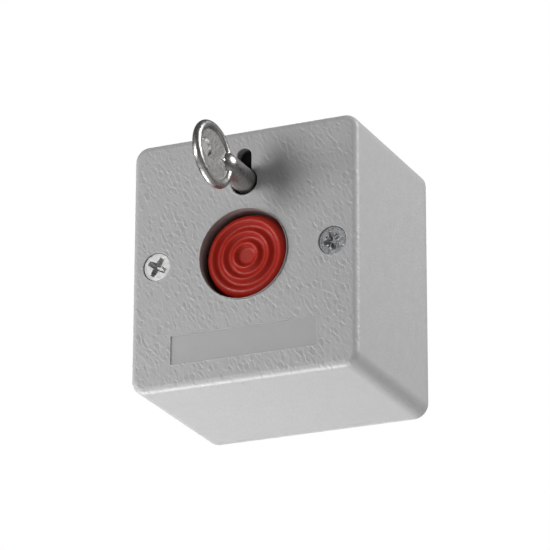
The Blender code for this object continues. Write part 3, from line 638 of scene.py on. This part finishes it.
def value_noise(x, z, size, seed):
    """Smooth noise from -1 to 1 with features of the given size."""
    table = np.random.default_rng(seed).random((TABLE, TABLE))
    u, v = x / size, z / size
    i, j = np.floor(u).astype(int), np.floor(v).astype(int)
    u, v = u - i, v - j
    u, v = u * u * (3 - 2 * u), v * v * (3 - 2 * v)
    low = table[i % TABLE, j % TABLE] * (1 - u) + table[(i + 1) % TABLE, j % TABLE] * u
    high = table[i % TABLE, (j + 1) % TABLE] * (1 - u) + table[(i + 1) % TABLE, (j + 1) % TABLE] * u
    return 2 * (low * (1 - v) + high * v) - 1


def scales(x, z, size, seed):
    """Height of a leather grain of small scales, each steep on its lower left side."""
    along = (GRAIN_RUN[0] * x + GRAIN_RUN[1] * z) / GRAIN_STRETCH
    across = GRAIN_RUN[0] * z - GRAIN_RUN[1] * x
    bend = GRAIN_BEND_SIZE * size
    u = along / size + GRAIN_BEND * value_noise(along, across, bend, seed + 1)
    v = across / size + GRAIN_BEND * value_noise(along, across, bend, seed + 2)
    table = np.random.default_rng(seed).random((TABLE, TABLE, 3))
    i, j = np.floor(u).astype(int), np.floor(v).astype(int)
    height, weight = np.zeros(len(x)), np.full(len(x), 1e-12)
    for step_i in range(-1, 2):
        for step_j in range(-1, 2):
            drawn = table[(i + step_i) % TABLE, (j + step_j) % TABLE]
            from_u, from_v = i + step_i + drawn[:, 0] - u, j + step_j + drawn[:, 1] - v
            share = np.exp(-GRAIN_CRISP * (from_u ** 2 + from_v ** 2))
            weight += share
            height += share * from_v * (GRAIN_LEAST + GRAIN_RANGE * drawn[:, 2] ** GRAIN_SKEW)
    return height / weight


def grain(mesh):
    """Press a leather grain into the front, fading out down the sides and beside the openings."""
    points = read_points(mesh)
    normals = np.empty(points.size)
    mesh.vertex_normals.foreach_get("vector", normals)
    x, z, below = points[:, 0], points[:, 2], DEPTH + points[:, 1]
    weight = np.clip(1 - (below - GRAIN_FULL) / GRAIN_FADE, 0, 1)
    for distance, edge in OPENINGS.values():
        weight *= np.clip((distance(x, z) - edge) / GRAIN_MARGIN, 0, 1)
    chosen = np.flatnonzero(weight > 0)
    x, z, below, weight = x[chosen], z[chosen], below[chosen], weight[chosen]
    out_x, out_z = slope(flat_distance, x, z)
    x, z = x + out_x * below, z + out_z * below
    height = (scales(x, z, GRAIN_SIZE, 11) + GRAIN_FINE_SHARE * scales(x, z, GRAIN_FINE, 23)
              - GRAIN_SINK)
    points[chosen] += normals.reshape(-1, 3)[chosen] * (GRAIN_DEPTH * weight * height)[:, None]
    write_points(mesh, points)


LABEL_LOOK, BORE_SHADE_LOOK = 1, 2


def make_cover(looks):
    """The moulded cover as one closed shell with real rounded edges."""
    x, z, quads, loops = front_grid()
    shell = Shell(x, z, DEPTH, quads)
    inner = []
    for loop in loops:
        px, pz = x[loop], z[loop]
        if abs(flat_distance(px, pz)).max() < 0.05 * MM:
            out_x, out_z = slope(flat_distance, px, pz)
            inner.append(shell.sweep(loop, px, pz, out_x, out_z, outer_stations()))
            continue
        name = min(OPENINGS, key=lambda key: abs(OPENINGS[key][0](px, pz) - OPENINGS[key][1]).max())
        distance, edge = OPENINGS[name]
        out_x, out_z = slope(distance, px, pz)
        stations = hole_stations(name, edge)
        last = shell.sweep(loop, px, pz, -out_x, -out_z, stations)
        if name == "label":
            shell.extra.append(last)
        else:
            inner.append(last)
    boss_rings(shell)
    mesh = bpy.data.meshes.new("cover_shell")
    mesh.from_pydata(np.concatenate(shell.points).tolist(), [],
                     np.concatenate(shell.faces).tolist())
    shape = bmesh.new()
    shape.from_mesh(mesh)
    shape.verts.ensure_lookup_table()
    for ring in shell.extra:
        shape.faces.new([shape.verts[number] for number in ring.tolist()])
    border = []
    for ring in inner + shell.bosses:
        numbers = ring.tolist()
        for a, b in zip(numbers, numbers[1:] + numbers[:1]):
            border.append(shape.edges.get((shape.verts[a], shape.verts[b])))
    bmesh.ops.triangle_fill(shape, use_beauty=False, use_dissolve=False, edges=border,
                            normal=(0, 1, 0))
    bmesh.ops.recalc_face_normals(shape, faces=shape.faces)
    for face in shape.faces:
        centre = face.calc_center_median()
        if label_distance(centre.x, centre.z) < 0 and centre.y < -(DEPTH - 0.5 * MM):
            face.material_index = LABEL_LOOK
        # The bore's wall, from just inside the front down to the stop, takes the material with
        # painted shade and painted red reflection.
        in_bore = math.hypot(centre.x, centre.z) < BORE_R + 0.01 * MM
        if in_bore and -(DEPTH - 0.2 * MM) < centre.y < -STOP_HEIGHT:
            face.material_index = BORE_SHADE_LOOK
    shape.to_mesh(mesh)
    shape.free()
    smooth_mesh(mesh, 50)
    grain(mesh)
    cover = add_object("cover_shell", mesh, looks["grey"], looks["label"], looks["bore"])
    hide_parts("cover")
    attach(cover, "casing")


# ---- button ------------------------------------------------------------------------------------

RIDGES = [3.55 * MM, 6.85 * MM, 10.15 * MM]
RIDGE_HALF = 1.5 * MM
RIDGE_HEIGHT = 1.05 * MM
CAP_R, CAP_FLOOR, CAP_MIDDLE = 12.0 * MM, 48.2 * MM, 1.9 * MM
ROLL_DROP = 2.3 * MM
SKIRT_R = CAP_R + 0.75 * MM
FLANGE_R, FLANGE_TOP, FLANGE_FOOT = 13.6 * MM, 43.1 * MM, 41.2 * MM
HOLLOW_R, HOLLOW_TOP = 10.6 * MM, 45.6 * MM
HUB_R, HUB_HOLE_R, HUB_FOOT = 5.6 * MM, 3.3 * MM, 41 * MM
CAP_BEVEL = 0.1 * MM


def cap_profile():
    """Flat middle, three rounded ridges, the last one rolling over into the skirt and flange.

    The hollow back has a hub for the stem."""
    profile = [(0, CAP_FLOOR), (CAP_MIDDLE, CAP_FLOOR)]
    for crest in RIDGES:
        for index in range(13 if crest < RIDGES[-1] else 7):
            share = index / 12
            profile.append((crest + RIDGE_HALF * (2 * share - 1),
                            CAP_FLOOR + RIDGE_HEIGHT * (0.5 - 0.5 * math.cos(math.tau * share))))
    for index in range(1, 11):
        turn = math.radians(9 * index)
        profile.append((RIDGES[-1] + (CAP_R - RIDGES[-1]) * math.sin(turn),
                        CAP_FLOOR + RIDGE_HEIGHT - ROLL_DROP * (1 - math.cos(turn))))
    profile += [(CAP_R + 0.15 * MM, 46.5 * MM), (CAP_R + 0.5 * MM, 46.1 * MM),
                (CAP_R + 0.7 * MM, 45.6 * MM), (SKIRT_R, 44.5 * MM), (SKIRT_R, FLANGE_TOP)]
    bevel = CAP_BEVEL
    profile += [(FLANGE_R - bevel, FLANGE_TOP), (FLANGE_R, FLANGE_TOP - bevel),
                (FLANGE_R, FLANGE_FOOT + bevel), (FLANGE_R - bevel, FLANGE_FOOT)]
    profile += [(HOLLOW_R + bevel, FLANGE_FOOT), (HOLLOW_R, FLANGE_FOOT + 2 * bevel),
                (HOLLOW_R, HOLLOW_TOP - 2 * bevel), (HOLLOW_R - 3 * bevel, HOLLOW_TOP)]
    profile += [(HUB_R + 2 * bevel, HOLLOW_TOP), (HUB_R, HOLLOW_TOP - 2 * bevel), (HUB_R, HUB_FOOT),
                (HUB_HOLE_R, HUB_FOOT), (HUB_HOLE_R, HOLLOW_TOP), (0, HOLLOW_TOP)]
    return profile


def make_cap(looks):
    """The red ribbed cap, which rides with the button."""
    cap = from_bmesh("button_ribbed_cap", spun(cap_profile(), 160), looks["red"])
    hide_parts("button_cap")
    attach(cap, "button")


# ---- key ---------------------------------------------------------------------------------------

KEY_R = 3.45 * MM
KEY_END = 35 * MM
SHAFT_TOP = 62.7 * MM
# The pointed fairing on the shaft's dome as (radius, height) in millimetres.
FAIRING = [(1.1, 66.25), (0.98, 66.8), (0.85, 67.6), (0.68, 68.6), (0.4, 69.6), (0, 69.8)]
BIT_HALF, BIT_REACH, BIT_TOP = 1.7 * MM, 9.2 * MM, 39.7 * MM
KEY_CELL = 0.11 * MM
KEY_PLAY = (0.1 * MM, 0.25 * MM)
BOW_R = 9.7 * MM
BOW_HEIGHT = 71.2 * MM
BEAD_R = 1.3 * MM
FIELD_HALF, FIELD_ROUGH = 0.45 * MM, 0.022 * MM
HOLE_R = 2.6 * MM
HOLE_OUT, HOLE_UP = 4.0 * MM, 0.8 * MM
FIELD_R = BOW_R - BEAD_R - math.sqrt(BEAD_R ** 2 - FIELD_HALF ** 2)
BOW_TURN = (math.radians(-4.2), math.radians(-5))


def key_shaft():
    """Shaft with a domed end and a pointed fairing that runs onto the bow."""
    profile = [(0, KEY_END), (KEY_R - 0.5 * MM, KEY_END), (KEY_R, KEY_END + 0.5 * MM)]
    for index in range(14):
        turn = math.radians(5.2 * index)
        profile.append((KEY_R * math.cos(turn), SHAFT_TOP + KEY_R * math.sin(turn)))
    profile += [(radius * MM, height * MM) for radius, height in FAIRING]
    return spun(profile, 96)


def bow_place(out=0.0, up=0.0):
    """Where the bow, or a point on it, stands: a few degrees out of line with the bit."""
    about, lean = BOW_TURN
    return (Matrix.Rotation(about, 4, 'Y') @ Matrix.Translation((0, -BOW_HEIGHT, 0))
            @ Matrix.Rotation(lean, 4, 'Z') @ Matrix.Translation((0, -out, up)))


def key_bow():
    """Round bow: a sunk field inside a round bead."""
    meet = math.pi - math.asin(FIELD_HALF / BEAD_R)
    turns = np.linspace(-meet, meet, 44)
    bead = [(BOW_R - BEAD_R + BEAD_R * math.cos(turn), BEAD_R * math.sin(turn)) for turn in turns]
    profile = [(0, -FIELD_HALF)] + bead + [(0, FIELD_HALF)]
    return moved(spun(profile, 128), bow_place() @ Matrix.Rotation(math.pi / 2, 4, 'Z'))


def key_bit():
    """The tooth at the inner end, round-topped."""
    outline = [(-BIT_HALF, 0), (BIT_HALF, 0)]
    for turn in np.linspace(0, math.pi, 17):
        outline.append((BIT_HALF * math.cos(turn), BIT_REACH - BIT_HALF * (1 - math.sin(turn))))
    return prism(outline, KEY_END, BIT_TOP)


def roughen_field(mesh):
    """The field's cast skin; the mesh stands with the bow's middle at the origin."""
    points = read_points(mesh)
    x, y, z = points.T
    from_hole = np.hypot(z - HOLE_UP, y + HOLE_OUT) - HOLE_R
    share = np.clip((FIELD_R - np.hypot(y, z)) / (0.4 * MM), 0, 1)
    share = share * np.clip(from_hole / (0.2 * MM), 0, 1)
    share = share * np.clip((FIELD_HALF + 0.3 * MM - abs(x)) / (0.15 * MM), 0, 1)
    rough = (value_noise(y, z, 0.5 * MM, 41) + 0.6 * value_noise(y, z, 0.27 * MM, 42)
             + 0.7 * value_noise(y, z, 1.3 * MM, 43))
    points[:, 0] += np.sign(x) * FIELD_ROUGH * share * rough
    write_points(mesh, points)


def make_key(looks):
    """Cast and plated key, made upright in the lock."""
    key = from_bmesh("reset_key_body", joined([key_shaft(), key_bow(), key_bit()]))
    remesh(key, KEY_CELL, 3)
    ring = spun([(0, -3 * MM), (HOLE_R, -3 * MM), (HOLE_R, 3 * MM), (0, 3 * MM)], 64)
    place = bow_place(HOLE_OUT, HOLE_UP) @ Matrix.Rotation(math.pi / 2, 4, 'Z')
    cut(key, from_bmesh("ring_hole", moved(ring, place)))
    mesh = key.data
    mesh.transform(bow_place().inverted())
    roughen_field(mesh)
    mesh.materials.clear()
    for look in (looks["nickel"], looks["cast"]):
        mesh.materials.append(look)
    for face in mesh.polygons:
        x, y, z = face.center
        face.material_index = int(abs(x) < FIELD_HALF + 0.2 * MM
                                  and math.hypot(y, z) < FIELD_R + 0.1 * MM)
    aside, up = KEY_PLAY
    mesh.transform(Matrix.Translation((aside, 0, LOCK_Z + up)) @ bow_place())
    smooth_mesh(mesh, 40)
    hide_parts("reset_key")
    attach(key, "key")


# ---- cover screws ------------------------------------------------------------------------------

HEAD_R = 4.05 * MM
HEAD_TOP = DEPTH - 0.45 * MM
SHANK_R = 1.95 * MM
THREAD_PITCH = 0.8 * MM
HEAD_RIM, HEAD_CHAMFER = 0.3 * MM, 0.12 * MM
# Half span, half width and depth of the cross recess.
SHARP_RECESS = (2.95 * MM, 0.64 * MM, 2.1 * MM)
WORN_RECESS = (2.65 * MM, 0.6 * MM, 1.0 * MM)
RECESS_WAIST = 1.25 * MM
RECESS_TAPER = 0.42
# Half span, half width, waist and depth of the fine marks between the arms of a worn recess.
TICKS = (2.3 * MM, 0.14 * MM, 0.5 * MM, 0.35 * MM)
DENT_DEPTH = 0.05 * MM
SCREW_CELL = 0.07 * MM


def screw_head():
    """Countersunk head with a small chamfer round its flat top."""
    cone_end = HEAD_TOP - HEAD_RIM - (HEAD_R - SHANK_R)
    profile = [(0, HEAD_TOP), (HEAD_R - HEAD_CHAMFER, HEAD_TOP), (HEAD_R, HEAD_TOP - HEAD_CHAMFER),
               (HEAD_R, HEAD_TOP - HEAD_RIM), (SHANK_R, cone_end), (SHANK_R, cone_end - 0.6 * MM),
               (0, cone_end - 0.6 * MM)]
    return spun(profile, 96)


def screw_shank():
    """Shank with a cut thread, hidden inside the cover."""
    top, tip = HEAD_TOP - 2.4 * MM, HEAD_TOP - 25 * MM
    profile = [(0, top), (SHANK_R - 0.25 * MM, top)]
    turns = int((top - tip) / THREAD_PITCH) - 1
    for index in range(turns):
        height = top - (index + 0.5) * THREAD_PITCH
        profile += [(SHANK_R - 0.3 * MM, height), (SHANK_R, height - 0.3 * MM),
                    (SHANK_R, height - 0.4 * MM), (SHANK_R - 0.3 * MM, height - 0.7 * MM)]
    profile += [(0.6 * SHANK_R, tip), (0, tip)]
    return spun(profile, 32)


def cross(span, width, waist):
    """Outline of a cross: arms of the given half span and half width, with cut inner corners."""
    outline = []
    for index in range(4):
        turn = math.tau * index / 4
        between = turn + math.pi / 4
        for along, across in ((span, -width), (span, width)):
            outline.append((along * math.cos(turn) - across * math.sin(turn),
                            along * math.sin(turn) + across * math.cos(turn)))
        outline.append((waist * math.cos(between), waist * math.sin(between)))
    return outline


def make_screw(number, turn, looks, worn):
    """One cover screw with a cross recess; the worn one is blunt, dented and dull."""
    head = from_bmesh(f"cover_screw_head_{number}", screw_head())
    span, width, depth = WORN_RECESS if worn else SHARP_RECESS
    outline = cross(span, width, RECESS_WAIST)
    turned = Matrix.Rotation(math.radians(turn), 4, 'Y')
    for tool in (prism(outline, HEAD_TOP - depth, HEAD_TOP, RECESS_TAPER),
                 prism(outline, HEAD_TOP, HEAD_TOP + MM)):
        cut(head, from_bmesh("recess", moved(tool, turned)))
    if worn:
        span, width, waist, depth = TICKS
        ticks = prism(cross(span, width, waist), HEAD_TOP - depth, HEAD_TOP + MM)
        between = Matrix.Rotation(math.radians(turn + 45), 4, 'Y')
        cut(head, from_bmesh("ticks", moved(ticks, between)))
    remesh(head, SCREW_CELL, 6 if worn else 1)
    if worn:
        dent(head.data)
    top = bmesh.new()
    top.from_mesh(head.data)
    bpy.data.objects.remove(head, do_unlink=True)
    place = Matrix.Translation((SCREWS[number - 1].x, 0, SCREWS[number - 1].z))
    screw = from_bmesh(f"cover_screw_body_{number}", moved(joined([top, screw_shank()]), place),
                       looks["worn_zinc" if worn else "bright_zinc"], angle=30)
    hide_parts(f"cover_screw_{number}")
    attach(screw, "casing")


def dent(mesh):
    """Uneven dents over the head of a used screw."""
    points = read_points(mesh)
    share = np.clip((-points[:, 1] - HEAD_TOP + 1.5 * MM) / (1.2 * MM), 0, 1)
    rough = (value_noise(points[:, 0], points[:, 2], 0.9 * MM, 51)
             + 0.6 * value_noise(points[:, 0], points[:, 2], 0.4 * MM, 52))
    points[:, 1] += DENT_DEPTH * share * np.maximum(rough, -0.2)
    write_points(mesh, points)


# ---- springs -----------------------------------------------------------------------------------

COIL_POINTS = 24
# Node, the joint that shortens it, coil radius, wire radius, turns, axis and the joint's travel.
SPRINGS = [
    ("return_spring", "button_press", 6.6 * MM, 0.45 * MM, 5.5, 'Y', 4.5 * MM),
    ("latch_spring", "latch_release", 2.0 * MM, 0.25 * MM, 6.5, 'Z', 1.25 * MM),
]


def coil(name, radius, wire, length, turns):
    """A compression spring along Z from z = 0, with one closed turn at each end."""
    lead = 2.2 * wire
    data = bpy.data.curves.new(name, 'CURVE')
    data.dimensions = '3D'
    data.bevel_depth = wire
    data.bevel_resolution = 3
    data.use_fill_caps = True
    line = data.splines.new('POLY')
    line.points.add(int(turns * COIL_POINTS))
    for index, point in enumerate(line.points):
        turn = index / COIL_POINTS
        closed = min(turn, 1) + max(turn - (turns - 1), 0)
        active = min(max(turn - 1, 0), turns - 2) / (turns - 2)
        height = wire + closed * lead + active * (length - 2 * wire - 2 * lead)
        point.co = (radius * math.cos(math.tau * turn), radius * math.sin(math.tau * turn), height, 1)
    wound = bpy.data.objects.new(name, data)
    shape = bmesh.new()
    shape.from_mesh(wound.to_mesh())
    wound.to_mesh_clear()
    bpy.data.objects.remove(wound, do_unlink=True)
    return shape


def make_spring(node, joint, radius, wire, turns, axis, travel, looks):
    """A spring wound to its node's length, standing on the casing."""
    low, high = (Vector(corner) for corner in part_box(node))
    foot = middle(node)
    if axis == 'Y':
        foot.y, length = high.y, high.y - low.y
        turn, way = Matrix.Rotation(math.pi / 2, 4, 'X'), (0, -1, 0)
    else:
        foot.z, length = low.z, high.z - low.z
        turn, way = Matrix.Identity(4), (0, 0, 1)
    wound = moved(coil(node + "_wire", radius, wire, length, turns), Matrix.Translation(foot) @ turn)
    spring = from_bmesh(node + "_coil", wound, looks["spring"])
    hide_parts(node)
    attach(spring, "casing")
    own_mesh(spring)


# ---- CAD nodes shown as they are ---------------------------------------------------------------

# For each look, the width of the rounded edges in millimetres and the nodes that have it.
DRESS = {
    "base": (0.35, ["base_plate"]),
    "zinc": (0.12, ["mechanism_plate", "plate_screw_1", "plate_screw_2", "plate_screw_3",
                    "plate_screw_4", "cam_screw", "board_screw_1", "board_screw_2",
                    "board_screw_3", "board_screw_4", "terminal_screw_1", "terminal_screw_2",
                    "terminal_screw_3"]),
    "steel": (0.1, ["latch_slide", "latch_stud_1", "latch_stud_2", "lever_pin", "switch_lever"]),
    "brass": (0.08, ["post_insert_1", "post_insert_2", "switch_terminal_1", "switch_terminal_2",
                     "switch_terminal_3", "terminal_clamp_1", "terminal_clamp_2",
                     "terminal_clamp_3"]),
    "nickel": (0.15, ["key_barrel", "release_cam"]),
    "black": (0.15, ["button_stem", "switch_body", "switch_cover"]),
    "red": (0.15, ["switch_button"]),
    "green": (0.2, ["terminal_block"]),
    "board": (0.1, ["circuit_board"]),
}


def dress_cad(looks):
    """Materials and small rounded edges for the CAD nodes that no piece replaces."""
    for look, (width, names) in DRESS.items():
        for name in names:
            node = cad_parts[name]
            node.data.materials.clear()
            node.data.materials.append(looks[look])
            smooth_mesh(node.data, 30)
            edge = node.modifiers.new("rounded_edges", 'BEVEL')
            edge.width = width * MM
            edge.segments = 2
            edge.limit_method = 'ANGLE'
            edge.angle_limit = math.radians(40)
            edge.harden_normals = True


# ---- stage, light and camera -------------------------------------------------------------------

LENS = 238.96
CAMERA_AZIMUTH = math.radians(23.98)
CAMERA_ELEVATION = math.radians(-20.25)
CAMERA_DISTANCE = 1.0211
CAMERA_AIM = Vector((-0.00198, -0.02482, 0.00266))
CAMERA_ROLL = math.radians(0.2)
FLOOR_HEIGHT = -0.6
FILL_STRENGTH = 0.12
# Name, direction from the front's middle, distance, size and watts.
LIGHTS = [
    ("key_light", (-0.5, -0.85, 0.0), 0.8, 0.34, 3.7),
    ("left_light", (-0.93, -0.36, 0.0), 0.6, 0.16, 1.0),
    ("right_light", (0.8, 0.12, 0.55), 0.85, 0.5, 8.3),
    ("lower_light", (-0.45, 0.08, -0.88), 0.5, 0.3, 2.6),
    ("back_light", (-0.3, 1.0, 0.12), 0.9, 0.3, 2.2),
]


def make_camera():
    """A long lens from the right and below, turned a little about its view."""
    data = bpy.data.cameras.new("camera")
    data.lens = LENS
    data.clip_start = 0.05
    data.clip_end = 20
    camera = bpy.data.objects.new("camera", data)
    bpy.context.scene.collection.objects.link(camera)
    back = Vector((math.sin(CAMERA_AZIMUTH) * math.cos(CAMERA_ELEVATION),
                   -math.cos(CAMERA_AZIMUTH) * math.cos(CAMERA_ELEVATION),
                   math.sin(CAMERA_ELEVATION)))
    camera.location = CAMERA_AIM + back * CAMERA_DISTANCE
    turn = (-back).to_track_quat('-Z', 'Y').to_matrix().to_4x4()
    camera.rotation_euler = (turn @ Matrix.Rotation(CAMERA_ROLL, 4, 'Z')).to_euler()
    bpy.context.scene.camera = camera


def area_light(name, direction, distance, size, watts):
    """A soft disc light, aimed at the object from a direction and hidden from the camera."""
    data = bpy.data.lights.new(name, 'AREA')
    data.shape = 'DISK'
    data.size = size
    data.energy = watts
    light = bpy.data.objects.new(name, data)
    way = Vector(direction).normalized()
    light.location = Vector((0, -DEPTH, 0)) + way * distance
    light.rotation_euler = (-way).to_track_quat('-Z', 'Y').to_euler()
    light.visible_camera = False
    bpy.context.scene.collection.objects.link(light)


def make_world():
    """White behind the object, and a dimmer even light on it."""
    world = bpy.data.worlds.new("studio")
    world.use_nodes = True
    tree = world.node_tree
    seen = tree.nodes["Background"]
    seen.inputs["Color"].default_value = (1, 1, 1, 1)
    fill = tree.nodes.new("ShaderNodeBackground")
    fill.inputs["Color"].default_value = (1, 1, 1, 1)
    fill.inputs["Strength"].default_value = FILL_STRENGTH
    choice = tree.nodes.new("ShaderNodeMixShader")
    path = tree.nodes.new("ShaderNodeLightPath")
    tree.links.new(path.outputs["Is Camera Ray"], choice.inputs["Fac"])
    tree.links.new(fill.outputs["Background"], choice.inputs[1])
    tree.links.new(seen.outputs["Background"], choice.inputs[2])
    tree.links.new(choice.outputs["Shader"], tree.nodes["World Output"].inputs["Surface"])
    bpy.context.scene.world = world


def make_stage():
    """Plain pale floor and soft studio lights."""
    make_world()
    bpy.context.scene.view_settings.view_transform = 'Standard'
    floor_look = Look("floor_paint", (0.85, 0.85, 0.85), 0.6)
    floor_look.roughness(floor_look.remap(floor_look.noise(0.2), 0.3, 0.7, 0.55, 0.65))
    floor_look.shader.inputs["Emission Color"].default_value = (1, 1, 1, 1)
    path = floor_look.tree.nodes.new("ShaderNodeLightPath")
    floor_look.link(floor_look.combine('MULTIPLY', path.outputs["Is Camera Ray"], 0.7),
                    floor_look.shader.inputs["Emission Strength"])
    bpy.ops.mesh.primitive_plane_add(size=8, location=(0, 0, FLOOR_HEIGHT))
    floor = bpy.context.active_object
    floor.name = "floor"
    floor.data.materials.append(floor_look.material)
    for light in LIGHTS:
        area_light(*light)


def main():
    """Camera, stage and every piece."""
    looks = make_looks()
    make_camera()
    make_stage()
    make_cover(looks)
    make_cap(looks)
    make_key(looks)
    make_screw(1, 32, looks, worn=False)
    make_screw(2, -10, looks, worn=True)
    for spring in SPRINGS:
        make_spring(*spring, looks)
    dress_cad(looks)


main()
